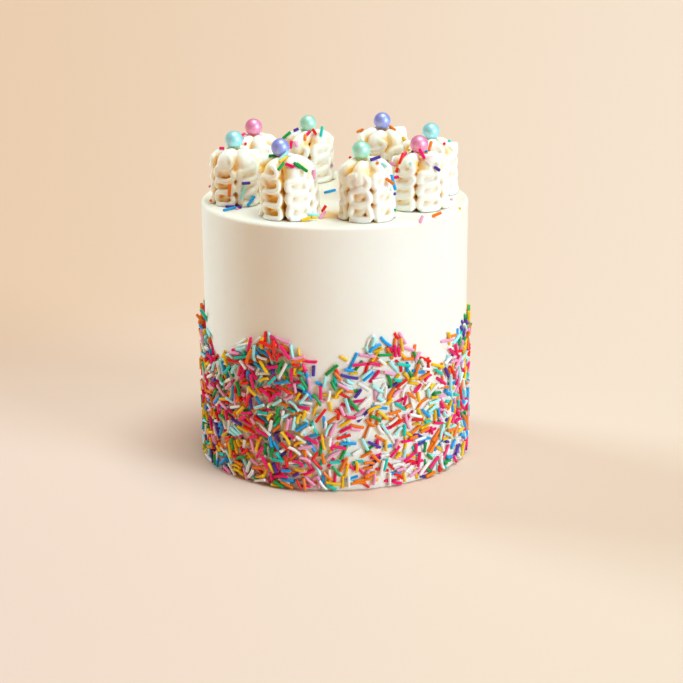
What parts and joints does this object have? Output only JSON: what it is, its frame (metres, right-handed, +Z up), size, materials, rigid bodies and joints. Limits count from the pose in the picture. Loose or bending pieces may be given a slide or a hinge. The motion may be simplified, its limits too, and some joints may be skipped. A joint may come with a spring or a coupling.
{
  "type": "sprinkle cake",
  "caption": "Tall round buttercream cake with a band of rod sprinkles round its lower half and a ring of piped star swirls, each with a sugar pearl.",
  "frame": {"origin": "centre of the flat base that the cake stands on", "axes": "+Z up along the cake's axis, -Y out of the side that faces the viewer, +X to the viewer's right"},
  "size_m": [0.1598, 0.1582, 0.192],
  "materials": {
    "buttercream": "smooth ivory buttercream, softly matte",
    "pearl_mint": "pearlescent mint sugar shell",
    "pearl_pink": "pearlescent pink sugar shell",
    "pearl_blue": "pearlescent blue sugar shell",
    "pearl_lavender": "pearlescent lavender sugar shell",
    "sprinkle_hot_pink": "waxy hot pink sugar rod",
    "sprinkle_red": "waxy red sugar rod",
    "sprinkle_orange": "waxy orange sugar rod",
    "sprinkle_yellow": "waxy yellow sugar rod",
    "sprinkle_green": "waxy green sugar rod",
    "sprinkle_teal": "waxy teal sugar rod",
    "sprinkle_aqua": "waxy aqua sugar rod",
    "sprinkle_blue": "waxy blue sugar rod",
    "sprinkle_indigo": "waxy indigo sugar rod",
    "sprinkle_light_pink": "waxy light pink sugar rod",
    "sprinkle_cream": "waxy cream sugar rod"
  },
  "bodies": {
    "root": {"cake": "buttercream", "swirl_1": "buttercream", "swirl_2": "buttercream", "swirl_3": "buttercream", "swirl_4": "buttercream", "swirl_5": "buttercream", "swirl_6": "buttercream", "swirl_7": "buttercream", "swirl_8": "buttercream", "pearl_1": "pearl_mint", "pearl_2": "pearl_pink", "pearl_3": "pearl_blue", "pearl_4": "pearl_lavender", "pearl_5": "pearl_mint", "pearl_6": "pearl_pink", "pearl_7": "pearl_blue", "pearl_8": "pearl_lavender"}
  },
  "joints": []
}
